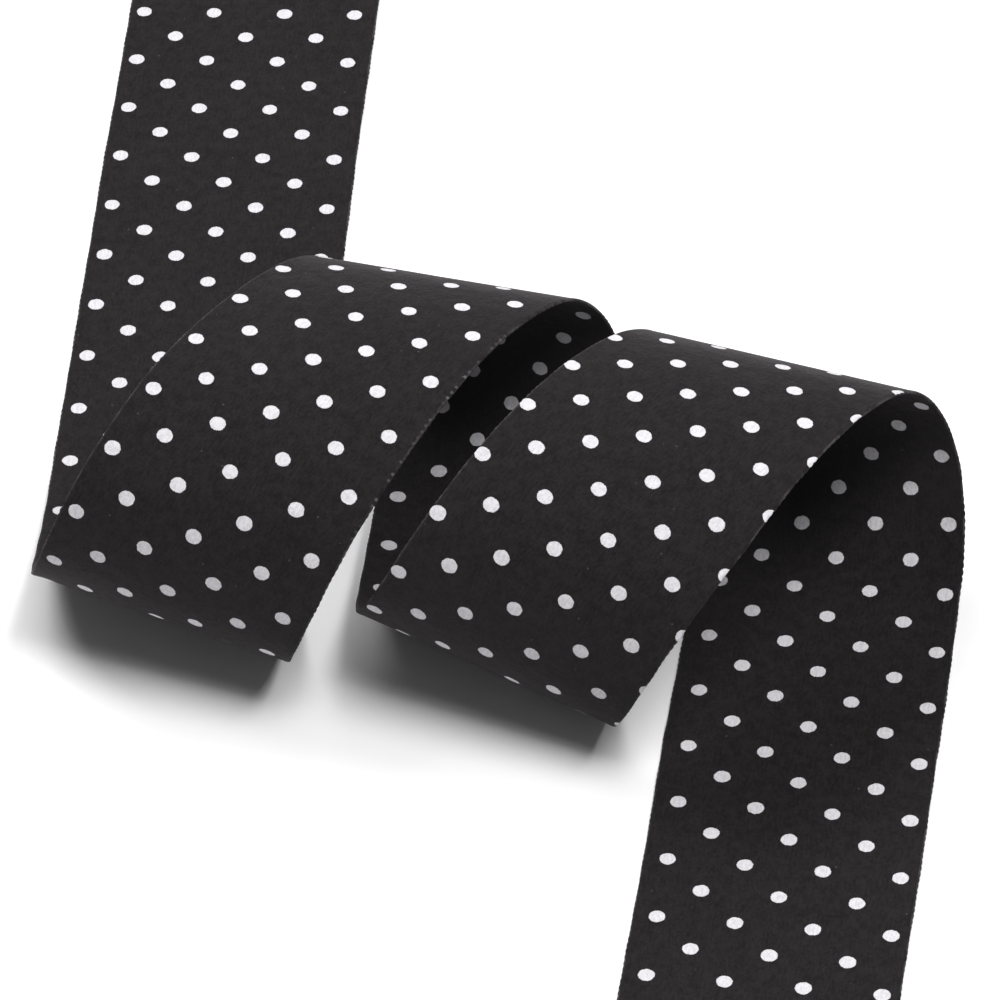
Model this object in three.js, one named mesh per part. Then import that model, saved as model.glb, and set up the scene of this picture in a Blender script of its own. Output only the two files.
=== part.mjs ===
// A length of double-faced ribbon lying loose: a flat tail at each end and two open loops between
// them. Millimetres, +Z up. The tails lie on z = 0 and run near the Y axis, the loops stand side by
// side along X.
import * as THREE from "three";

// The ribbon
const WIDTH = 38;
const THICKNESS = 1;
const REAR_TAIL = 129;
const FRONT_TAIL = 106;

// The way the rear tail runs, in degrees round from -Y towards +X
const REAR_HEADING = 9.5;

// The curl, from the rear tail on. Each bend takes up a length of ribbon and turns it by so many
// degrees. Its fold lines lie skewed from square across the ribbon, which walks the loops sideways.
const BENDS = [
  { name: "rear lift", length: 28.5, turn: 27.5, skew: 29 },
  { name: "first nose", length: 39.5, turn: 123, skew: 9 },
  { name: "first crown", length: 45, turn: 55.5, skew: 30 },
  { name: "first back", length: 50.5, turn: 146.5, skew: 7 },
  { name: "floor pass", length: 28.5, turn: 29, skew: 37 },
  { name: "second nose", length: 43.5, turn: 130.5, skew: 8 },
  { name: "second crown", length: 41, turn: 57, skew: 30 },
  { name: "second back", length: 31, turn: 91.3, skew: 12 },
];

// The landing lays the front tail flat. Its turn and skew follow from the bends before it.
const LANDING_LENGTH = 21;

// Ribbon length between two fold lines
const FACET_LENGTH = 1.6;

const UP = new THREE.Vector3(0, 0, 1);
const { degToRad } = THREE.MathUtils;

// Where each bend starts along the ribbon
function placeBends() {
  let start = REAR_TAIL;
  return BENDS.map((bend) => {
    const placed = { ...bend, start, middle: start + bend.length / 2 };
    start += bend.length;
    return placed;
  });
}

// Skew at a distance along the ribbon, running evenly from the middle of one bend to the next
function skewAt(bends, along) {
  const next = bends.findIndex((bend) => bend.middle > along);
  if (next === 0) return degToRad(bends[0].skew);
  if (next < 0) return degToRad(bends.at(-1).skew);
  const before = bends[next - 1];
  const after = bends[next];
  const part = (along - before.middle) / (after.middle - before.middle);
  return degToRad(THREE.MathUtils.lerp(before.skew, after.skew, part));
}

// Fold lines spread evenly over a stretch that turns by an angle in all
function spreadFolds(start, length, turn, skewOf) {
  const count = Math.ceil(length / FACET_LENGTH);
  return Array.from({ length: count }, (_, i) => {
    const along = start + ((i + 0.5) * length) / count;
    return { along, turn: turn / count, skew: skewOf(along) };
  });
}

// The turn of the ribbon beyond a fold line, in the flat ribbon's own frame:
// x along it, y across it and z out of its upper face
function foldMatrix({ along, turn, skew }) {
  const hinge = new THREE.Vector3(Math.sin(skew), Math.cos(skew), 0);
  return new THREE.Matrix4()
    .makeTranslation(along, WIDTH / 2, 0)
    .multiply(new THREE.Matrix4().makeRotationAxis(hinge, -turn))
    .multiply(new THREE.Matrix4().makeTranslation(-along, -WIDTH / 2, 0));
}

// The placing of each flat facet after a first one, one for every fold line
function placeFacets(first, folds) {
  let placing = first;
  return folds.map((fold) => {
    placing = placing.clone().multiply(foldMatrix(fold));
    return placing;
  });
}

// The folds of the landing: they turn the ribbon level, after a straight drop just long enough
// for the front tail to lie in the plane of the rear one
function landingFolds(placing, start) {
  const normal = new THREE.Vector3().setFromMatrixColumn(placing, 2);
  const hinge = UP.clone().cross(normal).transformDirection(placing.clone().invert());
  const skew = Math.atan2(hinge.x, hinge.y);
  const turn = normal.angleTo(UP);
  const foldsAfter = (drop) => spreadFolds(start + drop, LANDING_LENGTH, turn, () => skew);
  const levelAfter = (drop) => placeFacets(placing, foldsAfter(drop)).at(-1).elements[14];
  const slope = placing.elements[2];
  return foldsAfter(-levelAfter(0) / slope);
}

// The rear tail's own placing: upper face up, running along its heading
function rearPlacing() {
  const heading = degToRad(REAR_HEADING);
  const along = new THREE.Vector3(Math.sin(heading), -Math.cos(heading), 0);
  const across = new THREE.Vector3(Math.cos(heading), Math.sin(heading), 0);
  return new THREE.Matrix4().makeBasis(along, across, UP);
}

// Corners of the sheet where it meets a fold line: over and under each selvedge
function sheetCorners(fold, before, after) {
  const normal = new THREE.Vector3()
    .setFromMatrixColumn(before, 2)
    .add(new THREE.Vector3().setFromMatrixColumn(after, 2))
    .normalize()
    .multiplyScalar(THICKNESS / 2 / Math.cos(fold.turn / 2));
  const reach = Math.tan(fold.skew) * (WIDTH / 2);
  const left = new THREE.Vector3(fold.along - reach, 0, 0).applyMatrix4(before);
  const right = new THREE.Vector3(fold.along + reach, WIDTH, 0).applyMatrix4(before);
  return [
    left.clone().add(normal),
    right.clone().add(normal),
    right.clone().sub(normal),
    left.clone().sub(normal),
  ];
}

// A closed skin over rings of four corners each, with an end face on the first and the last
function skinRings(rings) {
  const triangles = [];
  rings.slice(1).forEach((_, ring) => {
    for (let side = 0; side < 4; side += 1) {
      const a = ring * 4 + side;
      const b = ring * 4 + ((side + 1) % 4);
      triangles.push(a, b + 4, b, a, a + 4, b + 4);
    }
  });
  const last = (rings.length - 1) * 4;
  triangles.push(0, 1, 2, 0, 2, 3);
  triangles.push(last, last + 2, last + 1, last, last + 3, last + 2);
  const skin = new THREE.BufferGeometry().setFromPoints(rings.flat());
  skin.setIndex(triangles);
  return skin;
}

// The whole sheet: rear cut end, every fold line, front cut end
function ribbonGeometry() {
  const bends = placeBends();
  const rear = rearPlacing();
  const curl = bends.flatMap((bend) =>
    spreadFolds(bend.start, bend.length, degToRad(bend.turn), (along) => skewAt(bends, along)),
  );
  const curlEnd = bends.at(-1).start + bends.at(-1).length;
  const landing = landingFolds(placeFacets(rear, curl).at(-1), curlEnd);
  const folds = [...curl, ...landing];
  const facets = [rear, ...placeFacets(rear, folds)];
  const frontEnd = landing.at(-1).along + FRONT_TAIL;
  const rings = [
    sheetCorners({ along: 0, turn: 0, skew: 0 }, rear, rear),
    ...folds.map((fold, i) => sheetCorners(fold, facets[i], facets[i + 1])),
    sheetCorners({ along: frontEnd, turn: 0, skew: 0 }, facets.at(-1), facets.at(-1)),
  ];
  return skinRings(rings);
}

// Stands the sheet on z = 0 with its footprint centred on the origin
function seat(geometry) {
  geometry.computeBoundingBox();
  const centre = geometry.boundingBox.getCenter(new THREE.Vector3());
  geometry.translate(-centre.x, -centre.y, -geometry.boundingBox.min.z);
  geometry.computeVertexNormals();
  return geometry;
}

const cloth = new THREE.MeshStandardMaterial({ color: 0x29292b, roughness: 0.92, metalness: 0 });
const ribbon = new THREE.Mesh(seat(ribbonGeometry()), cloth);
ribbon.name = "ribbon";

const ribbonLength = new THREE.Group();
ribbonLength.name = "ribbon_length";
ribbonLength.add(ribbon);

export default ribbonLength;
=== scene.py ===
"""A curled length of double-faced dotted ribbon: its cloth, finishes, table, lights and camera."""

import logging
import math
from dataclasses import dataclass, field
from enum import Enum
from typing import Any, Callable, Sequence

import bpy
import numpy as np
from mathutils import Matrix, Vector


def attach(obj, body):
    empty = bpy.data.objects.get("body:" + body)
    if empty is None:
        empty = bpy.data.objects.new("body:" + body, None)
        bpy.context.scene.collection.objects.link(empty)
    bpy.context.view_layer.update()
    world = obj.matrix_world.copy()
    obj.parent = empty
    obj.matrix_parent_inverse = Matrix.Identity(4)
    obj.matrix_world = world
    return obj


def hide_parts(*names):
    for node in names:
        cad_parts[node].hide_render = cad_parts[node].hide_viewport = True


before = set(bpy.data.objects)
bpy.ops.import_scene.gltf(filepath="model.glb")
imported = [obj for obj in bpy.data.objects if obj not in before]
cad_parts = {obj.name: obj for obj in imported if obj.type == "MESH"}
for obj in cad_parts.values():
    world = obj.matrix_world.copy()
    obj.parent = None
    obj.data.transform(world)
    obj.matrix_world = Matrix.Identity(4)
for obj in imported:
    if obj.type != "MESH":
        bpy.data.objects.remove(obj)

LOG = logging.getLogger("ribbon")
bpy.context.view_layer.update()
MM = 0.001
BODY = "root"
CAD_NODE = "ribbon"

# The ribbon's own sizes, in millimetres
WIDTH = 38.0
MIDDLE = WIDTH / 2.0
PICK_PITCH = 1.05  # between the weft loops of a selvedge
FILE_PITCH = 10.73  # between files of dots, across the ribbon
ROW_PITCH = 10.27  # between rows of dots, along the ribbon

Pair = tuple[float, float]
Colour = tuple[float, float, float]
Fold = tuple[float, float, float]  # distance along, turn and skew of a fold line, in radians
SkewRule = Callable[[float], float]  # skew at a distance along


# ---------------------------------------------------------------- shader tools


class Shader:
    """The node tree of one material."""

    def __init__(self, name: str) -> None:
        """Starts an empty node tree.

        Args:
            name: the material's name.
        """
        self.material = bpy.data.materials.new(name)
        self.material.use_nodes = True
        self.tree = self.material.node_tree
        self.tree.nodes.clear()

    def node(
        self,
        kind: str,
        settings: dict[str, Any] | None = None,
        sockets: dict[str | int, Any] | None = None,
    ) -> bpy.types.Node:
        """Adds a node.

        Args:
            kind: the node's type, such as ShaderNodeMath.
            settings: the node's own settings, set before its sockets.
            sockets: value or link of each input socket, by name or number.

        Returns:
            The new node.
        """
        made = self.tree.nodes.new(kind)
        for key, setting in (settings or {}).items():
            setattr(made, key, setting)
        for key, given in (sockets or {}).items():
            self.feed(made.inputs[key], given)
        return made

    def feed(self, socket: bpy.types.NodeSocket, given: Any) -> None:
        """Sets a socket, or links it.

        Args:
            socket: the input socket.
            given: a Value, an output socket, a number, a colour or a vector.
        """
        if isinstance(given, Value):
            self.tree.links.new(given.socket, socket)
        elif isinstance(given, bpy.types.NodeSocket):
            self.tree.links.new(given, socket)
        elif isinstance(given, (int, float)):
            socket.default_value = given
        else:
            size = len(socket.default_value)
            socket.default_value = (*given, 1.0)[:size]

    def math(self, operation: str, *terms: Any) -> "Value":
        """Adds a Math node.

        Args:
            operation: the node's operation.
            terms: its inputs, Values or numbers.

        Returns:
            The result.
        """
        made = self.node("ShaderNodeMath", {"operation": operation}, dict(enumerate(terms)))
        return Value(self, made.outputs[0])

    def blend(self, factor: Any, first: Any, second: Any) -> bpy.types.NodeSocket:
        """Mixes two colours.

        Args:
            factor: how much of the second colour shows.
            first: the colour at factor 0.
            second: the colour at factor 1.

        Returns:
            The mixed colour's socket.
        """
        settings = {"data_type": "RGBA", "blend_type": "MIX", "clamp_factor": True}
        made = self.node("ShaderNodeMix", settings, {0: factor, 6: first, 7: second})
        return made.outputs[2]

    def uv(self, name: str) -> tuple["Value", "Value", bpy.types.NodeSocket]:
        """Reads a UV map.

        Args:
            name: the map's name.

        Returns:
            Its two coordinates, and the socket of both.
        """
        made = self.node("ShaderNodeUVMap", {"uv_map": name})
        split = self.node("ShaderNodeSeparateXYZ", None, {0: made.outputs[0]})
        return Value(self, split.outputs[0]), Value(self, split.outputs[1]), made.outputs[0]

    def noise(self, vector: bpy.types.NodeSocket, scale: float, detail: float) -> "Value":
        """Adds soft noise around a half.

        Args:
            vector: where it is read.
            scale: patches to each unit of the vector.
            detail: how many finer layers it has.

        Returns:
            The noise, from 0 to 1.
        """
        sockets = {"Vector": vector, "Scale": scale, "Detail": detail, "Roughness": 0.55}
        made = self.node("ShaderNodeTexNoise", {"noise_dimensions": "2D"}, sockets)
        return Value(self, made.outputs[0])

    def surface(self, sockets: dict[str, Any]) -> bpy.types.Material:
        """Ends the tree in one Principled surface.

        Args:
            sockets: the surface's inputs, by name.

        Returns:
            The finished material.
        """
        made = self.node("ShaderNodeBsdfPrincipled", None, sockets)
        self.node("ShaderNodeOutputMaterial", None, {"Surface": made.outputs[0]})
        return self.material


@dataclass(frozen=True)
class Value:
    """A number that varies over the surface: one socket, with arithmetic.

    Args:
        shader: the tree that it belongs to.
        socket: the output socket that gives it.
    """

    shader: Shader
    socket: bpy.types.NodeSocket

    def __add__(self, other: Any) -> "Value":
        """Sum."""
        return self.shader.math("ADD", self, other)

    def __radd__(self, other: Any) -> "Value":
        """Sum, reflected."""
        return self.shader.math("ADD", other, self)

    def __sub__(self, other: Any) -> "Value":
        """Difference."""
        return self.shader.math("SUBTRACT", self, other)

    def __rsub__(self, other: Any) -> "Value":
        """Difference, reflected."""
        return self.shader.math("SUBTRACT", other, self)

    def __mul__(self, other: Any) -> "Value":
        """Product."""
        return self.shader.math("MULTIPLY", self, other)

    def __rmul__(self, other: Any) -> "Value":
        """Product, reflected."""
        return self.shader.math("MULTIPLY", other, self)

    def __truediv__(self, other: Any) -> "Value":
        """Quotient."""
        return self.shader.math("DIVIDE", self, other)

    def __rtruediv__(self, other: Any) -> "Value":
        """Quotient, reflected."""
        return self.shader.math("DIVIDE", other, self)

    def sine(self) -> "Value":
        """Sine of it, in radians."""
        return self.shader.math("SINE", self)

    def floor(self) -> "Value":
        """The whole number below it."""
        return self.shader.math("FLOOR", self)

    def least(self, other: Any) -> "Value":
        """The lesser of it and another."""
        return self.shader.math("MINIMUM", self, other)

    def root(self) -> "Value":
        """Square root."""
        return self.shader.math("SQRT", self)

    def rise(self, start: float, end: float) -> "Value":
        """Smooth step.

        Args:
            start: where it is still 0.
            end: where it has reached 1; less than start for a falling step.

        Returns:
            The step, from 0 to 1.
        """
        low, high = min(start, end), max(start, end)
        ends = (0.0, 1.0) if end > start else (1.0, 0.0)
        sockets = {"Value": self, "From Min": low, "From Max": high}
        sockets |= {"To Min": ends[0], "To Max": ends[1]}
        made = self.shader.node("ShaderNodeMapRange", {"interpolation_type": "SMOOTHSTEP"}, sockets)
        return Value(self.shader, made.outputs[0])


# ---------------------------------------------------------------- finishes


@dataclass(frozen=True)
class Grain:
    """One layer of the cloth's unevenness.

    Args:
        scale: patches to each millimetre along and across.
        detail: how many finer layers it has.
        tone: how much it shifts the threads between deep and lifted.
        relief: how far it raises the cloth, in millimetres.
    """

    scale: Pair
    detail: float
    tone: float
    relief: float

    def over(self, shader: Shader, cloth: bpy.types.NodeSocket) -> Value:
        """Reads the layer over the cloth map.

        Args:
            shader: the material's tree.
            cloth: the cloth map.

        Returns:
            The layer, from 0 to 1.
        """
        along, across = self.scale
        if along == across:
            return shader.noise(cloth, along, self.detail)
        mapped = shader.node("ShaderNodeMapping", None, {"Vector": cloth, "Scale": (along, across, 1.0)})
        return shader.noise(mapped.outputs[0], 1.0, self.detail)


@dataclass(frozen=True)
class PrintedCloth:
    """Matte black woven cloth with a white dot print, the same on both faces.

    Lengths are in millimetres. The cloth map holds the distance along and across the ribbon, and
    the print map holds the file and row of dots. A soft step's pair gives where it starts and
    where it is full.

    Args:
        name: the material's name.
        ground: colour of the threads where they lie deep.
        lifted: colour of the threads where they stand up.
        edge_highlight: colour of the painted highlight on the fine line where the cloth turns over at a
            selvedge.
        lint_and_loop_highlight: colour of lint, and of the painted highlight on the crests of some weft
            loops.
        ink: colour of the dots.
        ink_thin: share of the ink's colour where it is thin.
        ink_thick: share of the ink's colour where it is thick.
        ink_base: how thick the ink lies on plain threads, from 0 to 1.
        ink_streak: how much the streaks thin or thicken it.
        ink_slub: how much the thick places do.
        ink_weave: how much the weave does.
        dot_across: half the width of a dot.
        dot_along: half the length of a dot.
        dot_drift: how far a dot strays from its place, as a share of its size.
        dot_swell: how much a dot's own size varies, as a share of it.
        rim: the soft step over a dot's rim, as a share of its size.
        rim_wander: how far the rim wanders.
        rim_scale: wanders to each millimetre.
        rim_steps: how far the threads step the rim.
        thread_pitch: distance between threads.
        thread_tone: how much the weave shifts the threads between deep and lifted.
        thread_base: where plain threads lie between deep and lifted.
        thread_relief: height of the weave.
        slub: thick places in the threads.
        streak: streaks across the ribbon.
        mottle: soft unevenness of the cloth.
        patch: broad patches.
        dot_relief: height of the print over the cloth.
        line_relief: height of the pale line.
        line_inset: distance from the selvedge at which the pale line fades in.
        line_scale: breaks in the pale line to each millimetre.
        line_breaks: noise over which the pale line shows.
        loop_highlight: start and end of the stretch whose right selvedge gets a painted highlight on its
            weft loops.
        loop_highlight_start: stretch over which that painted highlight starts, from its start.
        loop_highlight_end: stretch over which it stops, from its end.
        loop_highlight_side: distance across at which it starts and is full.
        loop_highlight_inset: distance from the selvedge at which a highlit loop fades in.
        loop_highlight_crest: part of a weft loop that is highlit.
        loop_highlight_chance: chance of each loop being highlit.
        loop_highlight_scale: bursts of highlit loops to each millimetre.
        loop_highlight_bursts: noise over which the loops are highlit together.
        fleck_scale: lint specks to each millimetre.
        fleck_size: the largest speck, as a share of the distance between specks.
        fleck_chance: chance of each speck, and its size.
        fleck_rim: softness of a speck's rim.
        fleck_show: how clearly the lint shows.
        bump: strength of the relief.
        roughness: roughness of the bare cloth.
        dot_roughness: how much rougher the print is.
        slub_roughness: how much rougher the thick places are.
        sheen: strength of the soft sheen.
        sheen_roughness: breadth of the soft sheen.
        sheen_tint: colour of the soft sheen.
        specular: strength of the plain reflection.
    """

    name: str = "printed_cloth"
    ground: Colour = (0.0035, 0.0031, 0.0032)
    lifted: Colour = (0.0112, 0.0098, 0.0104)
    # Painted highlight: pale colour for the turn of each selvedge.
    edge_highlight: Colour = (0.044, 0.041, 0.043)
    # Lint specks, and also a painted highlight on the crests of some weft loops.
    lint_and_loop_highlight: Colour = (0.106, 0.099, 0.101)
    ink: Colour = (0.592, 0.580, 0.606)
    ink_thin: float = 0.84
    ink_thick: float = 1.04
    ink_base: float = 0.4
    ink_streak: float = 2.0
    ink_slub: float = 1.6
    ink_weave: float = 0.3
    dot_across: float = 1.135
    dot_along: float = 1.015
    dot_drift: float = 0.08
    dot_swell: float = 0.06
    rim: Pair = (1.05, 0.95)
    rim_wander: float = 0.16
    rim_scale: float = 1.5
    rim_steps: float = 0.05
    thread_pitch: float = 0.40
    thread_tone: float = 0.16
    thread_base: float = 0.42
    thread_relief: float = 0.022
    slub: Grain = Grain(scale=(2.2, 2.2), detail=2.0, tone=1.1, relief=0.032)
    streak: Grain = Grain(scale=(0.8, 3.0), detail=2.0, tone=1.5, relief=0.032)
    mottle: Grain = Grain(scale=(0.55, 0.55), detail=3.0, tone=1.5, relief=0.200)
    patch: Grain = Grain(scale=(0.08, 0.08), detail=2.0, tone=0.4, relief=0.0)
    dot_relief: float = 0.020
    line_relief: float = 0.05
    line_inset: Pair = (0.22, 0.04)
    line_scale: float = 0.35
    line_breaks: Pair = (0.36, 0.70)
    # Stretch whose right-selvedge weft loops get a painted highlight.
    loop_highlight: Pair = (200.0, 236.0)
    loop_highlight_start: Pair = (-8.0, 12.0)
    loop_highlight_end: Pair = (6.0, -4.0)
    loop_highlight_side: Pair = (30.0, 37.0)
    loop_highlight_inset: Pair = (0.46, 0.14)
    loop_highlight_crest: Pair = (0.45, 0.90)
    loop_highlight_chance: Pair = (0.1, 0.9)
    loop_highlight_scale: float = 0.30
    loop_highlight_bursts: Pair = (0.32, 0.54)
    fleck_scale: float = 0.14
    fleck_size: float = 0.026
    fleck_chance: Pair = (0.35, 1.0)
    fleck_rim: float = 0.012
    fleck_show: float = 0.35
    bump: float = 0.7
    roughness: float = 0.52
    dot_roughness: float = 0.20
    slub_roughness: float = 0.10
    sheen: float = 0.064
    sheen_roughness: float = 0.70
    sheen_tint: Colour = (1.0, 0.92, 0.97)
    specular: float = 0.02

    def _spot(self, shader: Shader, file: Value, row: Value) -> Value:
        """Distance from the middle of the nearest dot of one set, as a share of the dot's size.

        Args:
            shader: the material's tree.
            file: coordinate across, in files.
            row: coordinate along, in rows.

        Returns:
            The distance, 1 at the dot's rim.
        """
        near_file = (file + 0.5).floor()
        near_row = (row + 0.5).floor()
        place = shader.node("ShaderNodeCombineXYZ", None, {0: near_file, 1: near_row}).outputs[0]
        chance = shader.node("ShaderNodeTexWhiteNoise", {"noise_dimensions": "2D"}, {"Vector": place})
        drift = shader.node("ShaderNodeSeparateXYZ", None, {0: chance.outputs["Color"]})
        drift_across = (Value(shader, drift.outputs[0]) - 0.5) * self.dot_drift
        drift_along = (Value(shader, drift.outputs[1]) - 0.5) * self.dot_drift
        across = (file - near_file) * (FILE_PITCH / self.dot_across) + drift_across
        along = (row - near_row) * (ROW_PITCH / self.dot_along) + drift_along
        swell = (Value(shader, chance.outputs["Value"]) - 0.5) * self.dot_swell
        return (across * across + along * along).root() + swell

    def _dots(self, shader: Shader, cloth: bpy.types.NodeSocket, weave: Value) -> Value:
        """The print: 1 on a dot, 0 off it, its rim stepped by the threads.

        Args:
            shader: the material's tree.
            cloth: the cloth map.
            weave: height of the threads, from 0 to 1.

        Returns:
            The mask.
        """
        file, row, _ = shader.uv("print")
        nearest = self._spot(shader, file, row).least(self._spot(shader, file + 0.5, row + 0.5))
        wander = (shader.noise(cloth, self.rim_scale, 1.0) - 0.5) * self.rim_wander
        return (nearest + wander + (0.5 - weave) * self.rim_steps).rise(*self.rim)

    def _flecks(self, shader: Shader, cloth: bpy.types.NodeSocket) -> Value:
        """Specks of lint caught in the cloth.

        Args:
            shader: the material's tree.
            cloth: the cloth map.

        Returns:
            The mask.
        """
        cells = shader.node(
            "ShaderNodeTexVoronoi",
            {"voronoi_dimensions": "2D", "feature": "F1"},
            {"Vector": cloth, "Scale": self.fleck_scale, "Randomness": 1.0},
        )
        chance = shader.node("ShaderNodeSeparateXYZ", None, {0: cells.outputs["Color"]})
        size = Value(shader, chance.outputs[0]).rise(*self.fleck_chance) * self.fleck_size
        return (size - Value(shader, cells.outputs["Distance"])).rise(0.0, self.fleck_rim)

    def _selvedge_highlight(self, shader: Shader, across: Value, cloth: bpy.types.NodeSocket) -> Value:
        """The painted highlight line on the turn of each selvedge.

        Args:
            shader: the material's tree.
            across: distance across the ribbon.
            cloth: the cloth map.

        Returns:
            The mask.
        """
        inset = across.least(WIDTH - across)
        shows = shader.noise(cloth, self.line_scale, 3.0).rise(*self.line_breaks)
        return inset.rise(*self.line_inset) * shows

    def _loops(self, shader: Shader, along: Value, across: Value, cloth: bpy.types.NodeSocket) -> Value:
        """The painted highlight on the crests of some weft loops.

        Args:
            shader: the material's tree.
            along: distance along the ribbon.
            across: distance across it.
            cloth: the cloth map.

        Returns:
            The mask.
        """
        picks = along / PICK_PITCH
        crest = ((picks * math.tau).sine() * 0.5 + 0.5).rise(*self.loop_highlight_crest)
        number = (picks + 0.25).floor()
        own = shader.node("ShaderNodeTexWhiteNoise", {"noise_dimensions": "1D"}, {"W": number})
        chance = Value(shader, own.outputs[0]).rise(*self.loop_highlight_chance)
        bursts = shader.noise(cloth, self.loop_highlight_scale, 1.0).rise(*self.loop_highlight_bursts)
        start, end = self.loop_highlight
        starts = along.rise(*(start + reach for reach in self.loop_highlight_start))
        ends = along.rise(*(end + reach for reach in self.loop_highlight_end))
        place = starts * ends * across.rise(*self.loop_highlight_side)
        inset = across.least(WIDTH - across)
        return inset.rise(*self.loop_highlight_inset) * crest * chance * bursts * place

    def build(self) -> bpy.types.Material:
        """Makes the material.

        Returns:
            The material.
        """
        shader = Shader(self.name)
        along, across, cloth = shader.uv("cloth")
        threads = math.tau / self.thread_pitch
        weave = ((along * threads).sine() * (across * threads).sine()) * 0.5 + 0.5
        grains = (self.slub, self.streak, self.mottle, self.patch)
        layers = [grain.over(shader, cloth) for grain in grains]
        slub, streak = layers[:2]
        line = self._selvedge_highlight(shader, across, cloth)
        loops = self._loops(shader, along, across, cloth)
        dots = self._dots(shader, cloth, weave)
        flecks = self._flecks(shader, cloth) * (1.0 - dots)

        thread = weave * self.thread_tone + self.thread_base
        height = weave * self.thread_relief + dots * self.dot_relief + line * self.line_relief
        for grain, layer in zip(grains, layers):
            thread = thread + (layer - 0.5) * grain.tone
            height = height + layer * grain.relief
        bare = shader.blend(thread, self.ground, self.lifted)
        # Paints a highlight along the turn of each selvedge.
        selvedge_highlighted = shader.blend(line, bare, self.edge_highlight)
        # Paints a highlight on the crests of some weft loops.
        loop_highlight = shader.blend(loops, selvedge_highlighted, self.lint_and_loop_highlight)
        linted = shader.blend(flecks * self.fleck_show, loop_highlight, self.lint_and_loop_highlight)
        uneven = (streak - 0.5) * self.ink_streak + (slub - 0.5) * self.ink_slub
        cover = uneven + weave * self.ink_weave + self.ink_base
        thin, thick = (tuple(share * part for part in self.ink) for share in (self.ink_thin, self.ink_thick))
        bump = shader.node("ShaderNodeBump", None, {"Strength": self.bump, "Distance": MM, "Height": height})
        return shader.surface(
            {
                "Base Color": shader.blend(dots, linted, shader.blend(cover, thin, thick)),
                "Roughness": dots * self.dot_roughness + slub * self.slub_roughness + self.roughness,
                "Normal": bump.outputs[0],
                "Specular IOR Level": self.specular,
                "Sheen Weight": self.sheen,
                "Sheen Roughness": self.sheen_roughness,
                "Sheen Tint": self.sheen_tint,
            }
        )


@dataclass(frozen=True)
class TableTop:
    """Smooth matt white table.

    Args:
        name: the material's name.
        colour: colour of the table.
        shade: share of the colour in its darker patches.
        grain: patches to a metre.
        roughness: roughness of its surface.
        specular: strength of its plain reflection.
    """

    name: str = "table_top"
    colour: Colour = (0.905, 0.903, 0.912)
    shade: float = 0.985
    grain: float = 60.0
    roughness: float = 0.9
    specular: float = 0.1

    def build(self) -> bpy.types.Material:
        """Makes the material.

        Returns:
            The material.
        """
        shader = Shader(self.name)
        place = shader.node("ShaderNodeTexCoord").outputs["Object"]
        patches = shader.noise(place, self.grain, 3.0)
        colour = shader.blend(patches, self.colour, tuple(self.shade * part for part in self.colour))
        return shader.surface(
            {"Base Color": colour, "Roughness": self.roughness, "Specular IOR Level": self.specular}
        )


# ---------------------------------------------------------------- the ribbon's route

SETTLING_STEPS = 8  # repeats that find the fold line through a point of the cloth


@dataclass(frozen=True)
class Bend:
    """One bend of the curl.

    Args:
        name: where it is.
        length: ribbon that it takes up, in millimetres.
        turn: how far the ribbon turns in it, in degrees.
        skew: how far its fold lines lie off square across the ribbon, in degrees.
    """

    name: str
    length: float
    turn: float
    skew: float


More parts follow.
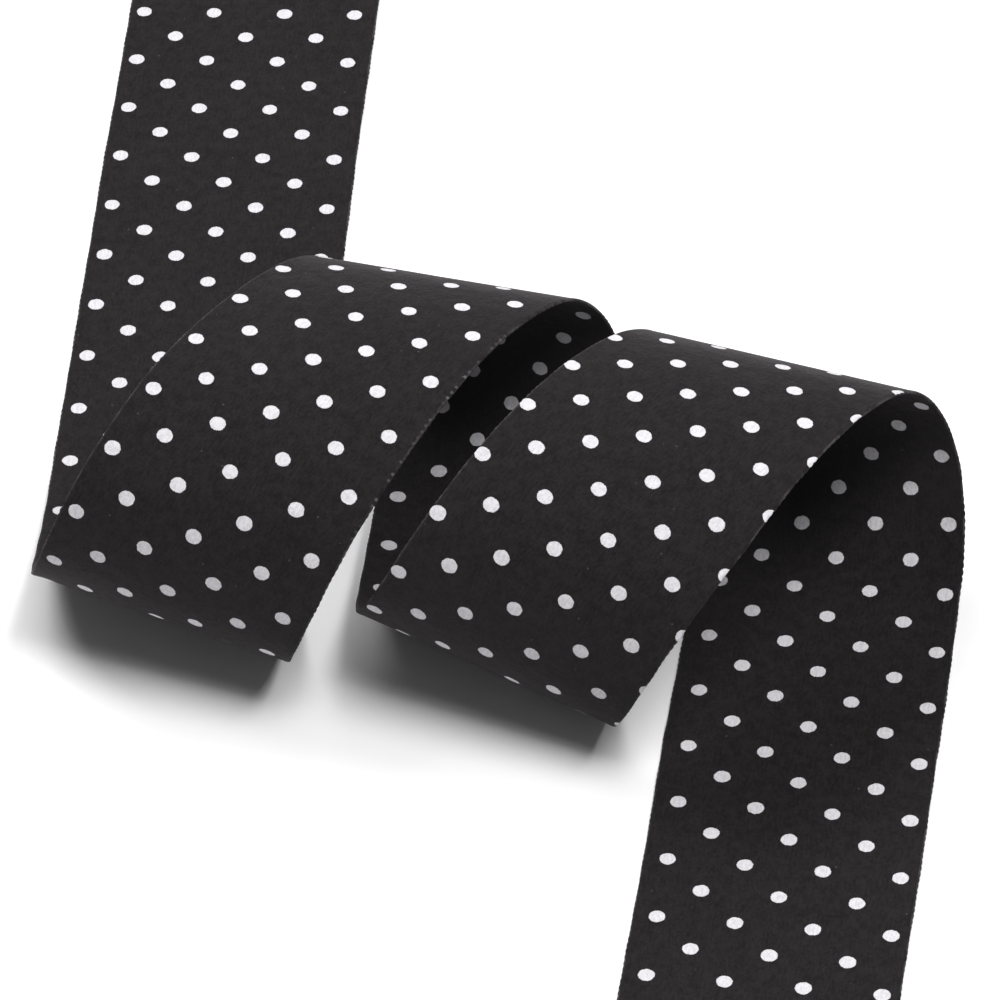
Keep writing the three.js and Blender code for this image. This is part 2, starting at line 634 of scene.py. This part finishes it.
@dataclass
class RibbonPath:
    """The ribbon's middle surface, a chain of narrow flat facets from the rear cut to the front one.

    Lengths are in millimetres and angles in degrees. Distances along run from the rear cut, and
    distances across from the left selvedge. The landing lays the front tail level with the rear one.
    The rear tail, the bends and the landing were fitted to this one curl, then rounded. The heading
    was chosen, to lay the tails near the Y axis.

    Args:
        thickness: thickness of the cloth.
        rear_tail: flat length from the rear cut to the first bend.
        front_tail: flat length from the landing to the front cut.
        rear_heading: the way the rear tail runs, round from -Y towards +X.
        landing_length: ribbon that the landing takes up.
        facet_length: ribbon between two fold lines.
        bends: the bends, from the rear tail on.

    Attributes:
        folds: the fold lines, from the rear tail on.
        placings: the matrix that lays each facet in place.
        length: the whole ribbon's flat length.
        marks: distance along of the rear cut, each fold line and the front cut.
        skews: the skew there, in radians.
        normals: the way that the upper face looks there.
        shift: moves the finished route to its place on the table.
    """

    thickness: float = 0.4
    rear_tail: float = 129.0
    front_tail: float = 106.0
    rear_heading: float = 9.5
    landing_length: float = 21.0
    facet_length: float = 0.27
    bends: tuple[Bend, ...] = (
        Bend("rear lift", 28.5, 27.5, 29.0),
        Bend("first nose", 39.5, 123.0, 9.0),
        Bend("first crown", 45.0, 55.5, 30.0),
        Bend("first back", 50.5, 146.5, 7.0),
        Bend("floor pass", 28.5, 29.0, 37.0),
        Bend("second nose", 43.5, 130.5, 8.0),
        Bend("second crown", 41.0, 57.0, 30.0),
        Bend("second back", 31.0, 91.3, 12.0),
    )
    folds: list[Fold] = field(init=False)
    placings: np.ndarray = field(init=False)
    length: float = field(init=False)
    marks: np.ndarray = field(init=False)
    skews: np.ndarray = field(init=False)
    normals: np.ndarray = field(init=False)
    shift: np.ndarray = field(init=False)

    def __post_init__(self) -> None:
        """Works out the fold lines and the placing of every facet."""
        self.folds = self._curl_folds()
        heading = math.radians(self.rear_heading)
        rear = np.eye(4)
        rear[:3, 0] = (math.sin(heading), -math.cos(heading), 0.0)
        rear[:3, 1] = (math.cos(heading), math.sin(heading), 0.0)
        placings = self._chain(rear, self.folds)
        landing = self._landing_folds(placings[-1])
        self.placings = np.array(placings + self._chain(placings[-1], landing)[1:])
        self.folds += landing
        self.length = self.folds[-1][0] + self.front_tail
        self._tabulate()
        self._seat()

    def _spread(self, start: float, length: float, turn: float, skew_of: SkewRule) -> list[Fold]:
        """Fold lines spread evenly over a stretch.

        Args:
            start: where the stretch starts.
            length: ribbon that it takes up.
            turn: how far it turns in all, in radians.
            skew_of: gives the skew in radians at a distance along.

        Returns:
            Distance along, turn and skew of each fold line.
        """
        count = math.ceil(length / self.facet_length)
        places = [start + (i + 0.5) * length / count for i in range(count)]
        return [(place, turn / count, skew_of(place)) for place in places]

    def _curl_folds(self) -> list[Fold]:
        """Fold lines of every bend, their skew running evenly from bend to bend.

        Returns:
            Distance along, turn and skew of each fold line.
        """
        starts = self.rear_tail + np.concatenate(([0.0], np.cumsum([bend.length for bend in self.bends])))
        middles = (starts[:-1] + starts[1:]) / 2.0
        skews = np.radians([bend.skew for bend in self.bends])
        folds: list[Fold] = []
        for bend, start in zip(self.bends, starts):
            turn = math.radians(bend.turn)
            folds += self._spread(start, bend.length, turn, lambda at: float(np.interp(at, middles, skews)))
        return folds

    def _fold_matrix(self, fold: Fold) -> np.ndarray:
        """The turn of the ribbon beyond a fold line, in the flat ribbon's own frame.

        Args:
            fold: distance along, turn and skew of the fold line.

        Returns:
            The 4 by 4 matrix.
        """
        along, turn, skew = fold
        hinge = Vector((math.sin(skew), math.cos(skew), 0.0))
        there = Matrix.Translation((along, MIDDLE, 0.0))
        return np.array(there @ Matrix.Rotation(-turn, 4, hinge) @ there.inverted())

    def _chain(self, first: np.ndarray, folds: Sequence[Fold]) -> list[np.ndarray]:
        """The placings of the facets from a first one on.

        Args:
            first: the first facet's placing.
            folds: the fold lines after it.

        Returns:
            The placings, the first one included.
        """
        placings = [first]
        for fold in folds:
            placings.append(placings[-1] @ self._fold_matrix(fold))
        return placings

    def _landing_folds(self, last: np.ndarray) -> list[Fold]:
        """The folds that lay the front tail level with the rear one.

        Args:
            last: the placing of the last facet before the landing.

        Returns:
            Distance along, turn and skew of each fold line.
        """
        start = self.rear_tail + sum(bend.length for bend in self.bends)
        normal = last[:3, 2]
        hinge = last[:3, :3].T @ np.cross((0.0, 0.0, 1.0), normal)
        skew = math.atan2(hinge[0], hinge[1])
        turn = math.acos(normal[2])
        landed = self._chain(last, self._spread(start, self.landing_length, turn, lambda at: skew))[-1]
        run = -landed[2, 3] / last[2, 0]
        return self._spread(start + run, self.landing_length, turn, lambda at: skew)

    def _tabulate(self) -> None:
        """Lists the skew and the normal at each fold line and at both cuts."""
        normals = self.placings[:, :3, 2]
        at_folds = normals[:-1] + normals[1:]
        at_folds /= np.linalg.norm(at_folds, axis=1)[:, None]
        self.marks = np.array([0.0, *(fold[0] for fold in self.folds), self.length])
        self.skews = np.array([0.0, *(fold[2] for fold in self.folds), 0.0])
        self.normals = np.vstack([normals[:1], at_folds, normals[-1:]])

    def _seat(self) -> None:
        """Centres the footprint of the two cuts, and stands the tails on the table."""
        self.shift = np.zeros(3)
        corners = [(end, side) for end in (0.0, self.length) for side in (0.0, WIDTH)]
        ends = self.place(np.array([c[0] for c in corners]), np.array([c[1] for c in corners]), 0.0)
        middle = (ends.min(axis=0) + ends.max(axis=0)) / 2.0
        self.shift = np.array([-middle[0], -middle[1], self.thickness / 2.0])

    def row(self, middle: np.ndarray, across: np.ndarray) -> np.ndarray:
        """Distance along of points on one fold line.

        Args:
            middle: where the fold line crosses the ribbon's middle.
            across: the points' distance across.

        Returns:
            Their distance along.
        """
        return middle + (across - MIDDLE) * np.tan(np.interp(middle, self.marks, self.skews))

    def place(self, along: np.ndarray, across: np.ndarray, lift: np.ndarray | float) -> np.ndarray:
        """Puts points of the flat ribbon where they lie in the curl.

        Args:
            along: distance along of each point.
            across: distance across of each point.
            lift: height of each point over the middle surface.

        Returns:
            The points, one to a row, in millimetres.
        """
        reach = across - MIDDLE
        middle = along
        for _ in range(SETTLING_STEPS):
            middle = along - reach * np.tan(np.interp(middle, self.marks, self.skews))
        facet = np.searchsorted(self.marks[1:-1], middle)
        flat = np.stack([along, across, np.zeros_like(along), np.ones_like(along)], axis=-1)
        base = np.einsum("nij,nj->ni", self.placings[facet], flat)[:, :3]
        parts = [np.interp(middle, self.marks, part) for part in self.normals.T]
        normal = np.stack(parts, axis=-1)
        return base + normal * np.broadcast_to(lift, along.shape)[:, None] + self.shift


# ---------------------------------------------------------------- the print's place on the cloth


class Face(Enum):
    """The two printed faces."""

    UPPER = "upper"
    UNDER = "under"


@dataclass(frozen=True)
class PrintMark:
    """Where the print lies at one place along the ribbon.

    Args:
        along: millimetres from the rear cut.
        row: dot rows along the ribbon's middle, counted from the face's own zero.
        inset: millimetres from the left selvedge to the first file of dots.
        slant: how far a row leans back for each millimetre across the ribbon.
    """

    along: float
    row: float
    inset: float
    slant: float


@dataclass(frozen=True)
class PrintLayout:
    """How the dot print is laid on one face. Between marks it runs evenly.

    Args:
        marks: the marks, from the rear cut on.
        file_pitch: millimetres between files of dots.
    """

    marks: tuple[PrintMark, ...]
    file_pitch: float = FILE_PITCH

    def coordinates(self, along: np.ndarray, across: np.ndarray) -> np.ndarray:
        """File and row of points on the cloth.

        Args:
            along: distance along of each point.
            across: distance across of each point.

        Returns:
            File and row of each point.
        """
        places = [mark.along for mark in self.marks]
        row = np.interp(along, places, [mark.row for mark in self.marks])
        inset = np.interp(along, places, [mark.inset for mark in self.marks])
        slant = np.interp(along, places, [mark.slant for mark in self.marks])
        lean = slant * (across - MIDDLE) / ROW_PITCH
        return np.stack([(across - inset) / self.file_pitch, row + lean], axis=-1)


# Measured on this one curl. The uneven steps also take up small errors of its route.
PRINTS: dict[Face, PrintLayout] = {
    Face.UPPER: PrintLayout(
        marks=(
            PrintMark(0.0, -3.22, 2.85, -0.007),
            PrintMark(100.0, 6.60, 2.20, -0.007),
            PrintMark(126.0, 9.09, 2.10, -0.007),
            PrintMark(136.0, 9.93, 2.15, -0.0065),
            PrintMark(160.0, 12.30, 2.27, -0.005),
            PrintMark(257.0, 21.43, 2.75, 0.0),
            PrintMark(332.0, 28.77, 3.02, 0.0),
            PrintMark(425.0, 37.92, 3.63, 0.0),
            PrintMark(470.0, 42.275, 3.61, 0.0),
            PrintMark(563.0, 51.39, 3.58, 0.0),
        ),
    ),
    Face.UNDER: PrintLayout(
        marks=(
            PrintMark(0.0, -20.78, 4.58, -0.024),
            PrintMark(175.0, -3.83, 2.44, -0.024),
            PrintMark(205.0, -0.91, 2.20, -0.024),
            PrintMark(240.0, 2.515, 2.12, -0.024),
            PrintMark(275.0, 5.92, 1.79, -0.024),
            PrintMark(332.0, 11.56, 1.25, -0.012),
            PrintMark(345.0, 12.76, 1.10, -0.012),
            PrintMark(390.0, 17.13, 0.75, -0.012),
            PrintMark(410.0, 19.08, 0.62, -0.012),
            PrintMark(563.0, 33.90, -1.02, -0.012),
        ),
        file_pitch=10.72,
    ),
}


# ---------------------------------------------------------------- meshes

SHARP_ANGLE = 65.0  # degrees between faces, past which an edge stays sharp


@dataclass
class ClothMesh:
    """Gathers the points and faces of one piece of printed cloth.

    Args:
        name: the piece's name.
        points: the points, in millimetres.
        cloth: distance along and across of each point on the cloth.
        laid: distance along and across of each point on the ribbon's route.
        faces: corner numbers of each face.
        sides: the printed face that each face shows.
    """

    name: str
    points: np.ndarray
    cloth: np.ndarray
    laid: np.ndarray
    faces: list[tuple[int, ...]] = field(default_factory=list)
    sides: list[Face] = field(default_factory=list)

    def add(self, corners: tuple[int, ...], side: Face) -> None:
        """Adds a face.

        Args:
            corners: its corner numbers, turning outwards.
            side: the printed face that it shows.
        """
        self.faces.append(corners)
        self.sides.append(side)

    def build(self, material: bpy.types.Material) -> bpy.types.Object:
        """Makes the piece, with its cloth and print maps.

        Args:
            material: its finish.

        Returns:
            The piece.
        """
        mesh = bpy.data.meshes.new(self.name)
        mesh.from_pydata((self.points * MM).tolist(), [], self.faces)
        corners = np.concatenate([np.array(face) for face in self.faces])
        counts = [len(face) for face in self.faces]
        under = np.repeat([side is Face.UNDER for side in self.sides], counts)
        laid = self.laid[corners]
        prints = np.where(
            under[:, None],
            PRINTS[Face.UNDER].coordinates(laid[:, 0], laid[:, 1]),
            PRINTS[Face.UPPER].coordinates(laid[:, 0], laid[:, 1]),
        )
        for name, values in (("cloth", self.cloth[corners]), ("print", prints)):
            mesh.uv_layers.new(name=name).data.foreach_set("uv", values.astype(np.float32).ravel())
        mesh.shade_smooth()
        mesh.set_sharp_from_angle(angle=math.radians(SHARP_ANGLE))
        mesh.materials.append(material)
        mesh.validate()
        piece = bpy.data.objects.new(self.name, mesh)
        bpy.context.scene.collection.objects.link(piece)
        return piece


def settle(piece: bpy.types.Object) -> bpy.types.Object:
    """Hangs a piece on the part's one body.

    Args:
        piece: the piece.

    Returns:
        The same piece.
    """
    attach(piece, BODY)
    LOG.info("%s: %d faces", piece.name, len(piece.data.polygons))
    return piece


# ---------------------------------------------------------------- sub-assemblies


@dataclass(frozen=True)
class Slack:
    """How the soft cloth strays from its smooth route at one place along the ribbon.

    The amounts are measured on this one curl, and take up small errors of the route too.

    Args:
        along: millimetres from the rear cut.
        left: how far the left selvedge strays inwards, in millimetres.
        right: how far the right selvedge strays outwards.
        left_fall: how far the cloth falls to its upper face's side at the left selvedge.
        right_fall: how far it falls to that side at the right selvedge.
    """

    along: float
    left: float = 0.0
    right: float = 0.0
    left_fall: float = 0.0
    right_fall: float = 0.0


SLACK: tuple[Slack, ...] = (
    Slack(0.0, left=0.50, right=0.20),
    Slack(34.0, left=0.50, right=0.18),
    Slack(50.0, left=0.28, right=-0.03),
    Slack(64.0, left=0.08, right=-0.15),
    Slack(94.0, left=-0.07, right=-0.12),
    Slack(122.0, left=-0.26, right=0.0),
    Slack(142.0, left=0.06, right=0.05),
    Slack(178.0, left=0.42, right=0.08),
    Slack(206.0, left=0.08, right=0.0),
    Slack(222.0, left=0.55, right=-0.12),
    Slack(236.0, left=0.65, right=0.08, right_fall=0.12),
    Slack(250.0, left=0.25, right=0.25, right_fall=0.46),
    Slack(268.0, right_fall=0.25),
    Slack(290.0),
    Slack(342.0, left=-0.04, right=0.08),
    Slack(359.0, left=0.0, right=-0.12),
    Slack(378.0, left=-0.08, right=0.28),
    Slack(390.0, left=-0.22, right=-0.10, left_fall=0.15),
    Slack(405.0, left=-0.05, left_fall=0.22),
    Slack(422.0, left_fall=0.06),
    Slack(438.0, right=0.28),
    Slack(458.0, right=-0.20),
    Slack(474.0, left=0.08, right=0.03),
    Slack(486.0, left=-0.06, right=0.08),
    Slack(502.0, left=0.28, right=0.22),
    Slack(563.0, left=0.42, right=0.24),
)


@dataclass(frozen=True)
class Ripple:
    """A slight ripple of the cloth, which swells and fades along the ribbon.

    Args:
        length: millimetres along for each radian of the ripple.
        lean: how far it turns across the whole width, in radians.
        start: where it starts, in radians.
        swell: millimetres along for each radian of its swelling.
        swell_start: where its swelling starts, in radians.
        height: its height in millimetres.
    """

    length: float
    lean: float
    start: float
    swell: float
    swell_start: float
    height: float

    def lift(self, along: np.ndarray, side: np.ndarray) -> np.ndarray:
        """Height of the ripple.

        Args:
            along: distance along of each point.
            side: share of the width at each point, from the left selvedge.

        Returns:
            The height at each point.
        """
        swelling = np.sin(along / self.swell + self.swell_start)
        return self.height * np.sin(along / self.length + self.lean * side + self.start) * swelling


@dataclass
class RibbonSheet:
    """The ribbon's cloth: one thin closed sheet with two printed faces and woven selvedges.

    Each selvedge thickens to a bead, and its weft loops stand out a little at every pick. Lengths
    are in millimetres.

    Args:
        path: the ribbon's route.
        row_step: distance between rows of points on the flat tails.
        clearance: how far the cloth stands off its route.
        ripples: the cloth's slight ripples.
        loop: how far a weft loop stands out.
        loop_mean: what a loop's own unevenness scales it by on average.
        loop_waves: radians to a millimetre, height, and share of the seed, of its slow changes.
        loop_range: least and most that it scales it by.
        loop_round: power that rounds a loop, 1 for a plain half wave.
        loop_seeds: sets the left and the right selvedge's unevenness apart.
        bead: how much thicker each selvedge is, on each face.
        profile: inset, and share of the bead's thickness, of the points near each selvedge.
        inner_columns: points across between the two selvedges.
    """

    path: RibbonPath
    row_step: float = 0.27
    clearance: float = 0.10
    ripples: tuple[Ripple, ...] = (
        Ripple(length=23.0, lean=1.3, start=0.0, swell=41.0, swell_start=0.7, height=0.06),
        Ripple(length=9.5, lean=2.2, start=0.4, swell=31.0, swell_start=0.0, height=0.03),
    )
    loop: float = 0.15
    loop_mean: float = 0.75
    loop_waves: tuple[tuple[float, float, float], ...] = ((0.83, 0.25, 1.0), (0.217, 0.30, 2.0))
    loop_range: Pair = (0.15, 1.4)
    loop_round: float = 0.8
    loop_seeds: Pair = (0.0, 40.0)
    bead: float = 0.05
    profile: tuple[Pair, ...] = ((0.0, -1.6), (0.10, 0.3), (0.32, 1.0), (0.62, 0.6), (0.95, 0.0))
    inner_columns: int = 7

    def _rows(self) -> np.ndarray:
        """Where the rows of points cross the ribbon's middle.

        Returns:
            Distances along.
        """
        marks = self.path.marks
        rear_count, front_count = (int(tail / self.row_step) for tail in (marks[1], marks[-1] - marks[-2]))
        rear = np.linspace(0.0, marks[1], rear_count, endpoint=False)
        front = np.linspace(marks[-1], marks[-2], front_count, endpoint=False)
        return np.concatenate([rear, marks[1:-1], front[::-1]])

    def _slack(self, along: np.ndarray, fact: str) -> np.ndarray:
        """One fact of the cloth's slack, running evenly from place to place.

        Args:
            along: distance along of each point.
            fact: which fact, by its name in the slack table.

        Returns:
            The fact at each point.
        """
        return np.interp(along, [place.along for place in SLACK], [getattr(place, fact) for place in SLACK])

    def _ease(self, along: np.ndarray, side: np.ndarray) -> np.ndarray:
        """Slight unevenness of slack cloth.

        Args:
            along: distance along of each point.
            side: share of the width at each point, from the left selvedge.

        Returns:
            Lift of each point over the route.
        """
        left, right = self._slack(along, "left_fall"), self._slack(along, "right_fall")
        rippled = sum(ripple.lift(along, side) for ripple in self.ripples)
        return self.clearance + rippled + left + (right - left) * side

    def _loops(self, along: np.ndarray, seed: float) -> np.ndarray:
        """How far the weft loops stand out along a selvedge.

        Args:
            along: distance along of each point.
            seed: sets one selvedge's unevenness apart from the other's.

        Returns:
            The distance outwards.
        """
        waves = [height * np.sin(along * pace + share * seed) for pace, height, share in self.loop_waves]
        uneven = self.loop_mean + sum(waves)
        arch = np.abs(np.sin(math.pi * along / PICK_PITCH + seed)) ** self.loop_round
        return self.loop * np.clip(uneven, *self.loop_range) * arch

    def build(self, material: bpy.types.Material) -> bpy.types.Object:
        """Makes the sheet.

        Args:
            material: its finish.

        Returns:
            The piece.
        """
        insets, beads = np.array(self.profile).T
        inner = np.linspace(insets[-1], WIDTH - insets[-1], self.inner_columns + 2)[1:-1]
        across = np.concatenate([insets, inner, WIDTH - insets[::-1]])
        bead = np.concatenate([beads, np.zeros(len(inner)), beads[::-1]]) * self.bead
        rows = self._rows()
        along = self.path.row(rows[:, None], across[None, :])
        wide = np.broadcast_to(across, along.shape).copy()
        left_seed, right_seed = self.loop_seeds
        wide[:, 0] -= self._loops(along[:, 0], left_seed)
        wide[:, -1] += self._loops(along[:, -1], right_seed)
        flat = np.stack([along.ravel(), wide.ravel()], axis=-1)
        side = flat[:, 1] / WIDTH
        left, right = self._slack(flat[:, 0], "left"), self._slack(flat[:, 0], "right")
        laid = np.stack([flat[:, 0], flat[:, 1] + left * (1.0 - side) + right * side], axis=-1)
        half = np.broadcast_to(self.path.thickness / 2.0 + bead, along.shape).ravel()
        ease = self._ease(flat[:, 0], side)
        faces = [self.path.place(laid[:, 0], laid[:, 1], ease + lift) for lift in (half, -half)]
        mesh = ClothMesh("ribbon_cloth", np.vstack(faces), np.vstack([flat, flat]), np.vstack([laid, laid]))
        self._skin(mesh, len(rows), len(across))
        return settle(mesh.build(material))

    def _skin(self, mesh: ClothMesh, rows: int, wide: int) -> None:
        """Closes the sheet over its rows of points.

        Args:
            mesh: the mesh to add to.
            rows: how many rows of points there are.
            wide: how many points each row has.
        """
        below = rows * wide
        for row in range(rows - 1):
            for column in range(wide - 1):
                a = row * wide + column
                b, c, d = a + wide, a + wide + 1, a + 1
                mesh.add((a, b, c, d), Face.UPPER)
                mesh.add((a + below, d + below, c + below, b + below), Face.UNDER)
            left, right = row * wide, row * wide + wide - 1
            mesh.add((left, left + below, left + wide + below, left + wide), Face.UPPER)
            mesh.add((right, right + wide, right + wide + below, right + below), Face.UPPER)
        last = (rows - 1) * wide
        for column in range(wide - 1):
            rear, front = column, last + column
            mesh.add((rear, rear + 1, rear + 1 + below, rear + below), Face.UPPER)
            mesh.add((front, front + below, front + 1 + below, front + 1), Face.UPPER)


@dataclass(frozen=True)
class SoftBox:
    """One broad studio light.

    Args:
        name: the light's name.
        azimuth: degrees round from +Y towards +X.
        elevation: degrees above the table.
        distance: metres from the ribbon.
        size: width and height, in metres.
        power: watts.
    """

    name: str
    azimuth: float
    elevation: float
    distance: float
    size: Pair
    power: float


@dataclass
class Studio:
    """Table, lights and camera.

    The camera's place and the lights' powers were fitted, so their numbers aren't round.

    Args:
        table_side: side of the square table, in metres.
        table_drop: how far the table lies under z = 0, in metres.
        ambient: strength of the light from all round.
        veil: stray light in the lens, which lifts the deepest shade.
        boxes: the broad lights.
        aim: point that the camera looks at, in millimetres.
        azimuth: the way the camera looks, in degrees.
        elevation: the camera's height above the table, in degrees.
        roll: the camera's turn about its own view, in degrees.
        distance: metres from the camera to its aim.
        lens: focal length, in millimetres.
        sensor: width of the picture in the camera, in millimetres.
        clip: nearest and farthest that the camera sees, in metres.
    """

    table_side: float = 6.0
    table_drop: float = 0.00006
    ambient: float = 0.11
    veil: float = 0.002
    boxes: tuple[SoftBox, ...] = (
        SoftBox("right_box", 97.0, 67.0, 1.0, (0.36, 0.36), 5.90),
        SoftBox("upper_box", 112.0, 72.0, 1.0, (0.36, 0.36), 3.94),
        SoftBox("left_box", 302.0, 57.0, 1.0, (0.40, 0.36), 5.30),
        SoftBox("back_box", 337.0, 48.0, 1.0, (0.36, 0.36), 2.85),
    )
    aim: tuple[float, float, float] = (3.706, -4.278, 0.247)
    azimuth: float = 18.213
    elevation: float = 47.901
    roll: float = -5.450
    distance: float = 1.13789
    lens: float = 286.22
    sensor: float = 36.0
    clip: Pair = (0.05, 20.0)

    def build(self) -> None:
        """Makes the table, the lights and the camera."""
        self._table()
        for box in self.boxes:
            self._light(box)
        self._surround()
        self._camera()

    def _table(self) -> None:
        """Makes the table, just under the ribbon."""
        half = self.table_side / 2.0
        mesh = bpy.data.meshes.new("table")
        square = ((-half, -half), (half, -half), (half, half), (-half, half))
        corners = [(x, y, -self.table_drop) for x, y in square]
        mesh.from_pydata(corners, [], [(0, 1, 2, 3)])
        mesh.materials.append(TableTop().build())
        table = bpy.data.objects.new("table", mesh)
        bpy.context.scene.collection.objects.link(table)

    def _light(self, box: SoftBox) -> None:
        """Makes one broad light, turned to the ribbon.

        Args:
            box: the light's facts.
        """
        data = bpy.data.lights.new(box.name, "AREA")
        data.shape = "RECTANGLE"
        data.size, data.size_y = box.size
        data.energy = box.power
        light = bpy.data.objects.new(box.name, data)
        azimuth, elevation = math.radians(box.azimuth), math.radians(box.elevation)
        level = math.cos(elevation)
        away = Vector((math.sin(azimuth) * level, math.cos(azimuth) * level, math.sin(elevation)))
        light.location = away * box.distance
        light.rotation_euler = away.to_track_quat("Z", "Y").to_euler()
        bpy.context.scene.collection.objects.link(light)

    def _surround(self) -> None:
        """Sets the even light from all round, and plain tone."""
        world = bpy.data.worlds.new("surround")
        world.use_nodes = True
        background = world.node_tree.nodes["Background"]
        background.inputs["Color"].default_value = (1.0, 1.0, 1.0, 1.0)
        background.inputs["Strength"].default_value = self.ambient
        scene = bpy.context.scene
        scene.world = world
        view = scene.view_settings
        view.view_transform = "Standard"
        view.look = "None"
        view.use_curve_mapping = True
        view.curve_mapping.black_level = (-self.veil,) * 3

    def _camera(self) -> None:
        """Makes the camera and gives it to the scene."""
        azimuth, elevation, roll = map(math.radians, (self.azimuth, self.elevation, self.roll))
        level = math.cos(elevation)
        look = Vector((-math.sin(azimuth) * level, math.cos(azimuth) * level, -math.sin(elevation)))
        flat = look.cross(Vector((0.0, 0.0, 1.0))).normalized()
        upright = flat.cross(look)
        right = flat * math.cos(roll) + upright * math.sin(roll)
        up = upright * math.cos(roll) - flat * math.sin(roll)
        turned = Matrix((right, up, -look)).transposed().to_4x4()
        data = bpy.data.cameras.new("camera")
        data.lens = self.lens
        data.sensor_width = self.sensor
        data.clip_start, data.clip_end = self.clip
        camera = bpy.data.objects.new("camera", data)
        place = Vector(self.aim) * MM - look * self.distance
        camera.matrix_world = Matrix.Translation(place) @ turned
        bpy.context.scene.collection.objects.link(camera)
        bpy.context.scene.camera = camera


def main() -> None:
    """Builds the studio and the ribbon, and hides the imported ribbon."""
    logging.basicConfig(level=logging.INFO, format="%(name)s %(message)s")
    Studio().build()
    path = RibbonPath()
    LOG.info("route: %.1f mm long, %d fold lines", path.length, len(path.folds))
    cloth = PrintedCloth().build()
    sheet = RibbonSheet(path).build(cloth)
    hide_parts(CAD_NODE)


if __name__ == "__main__":
    main()
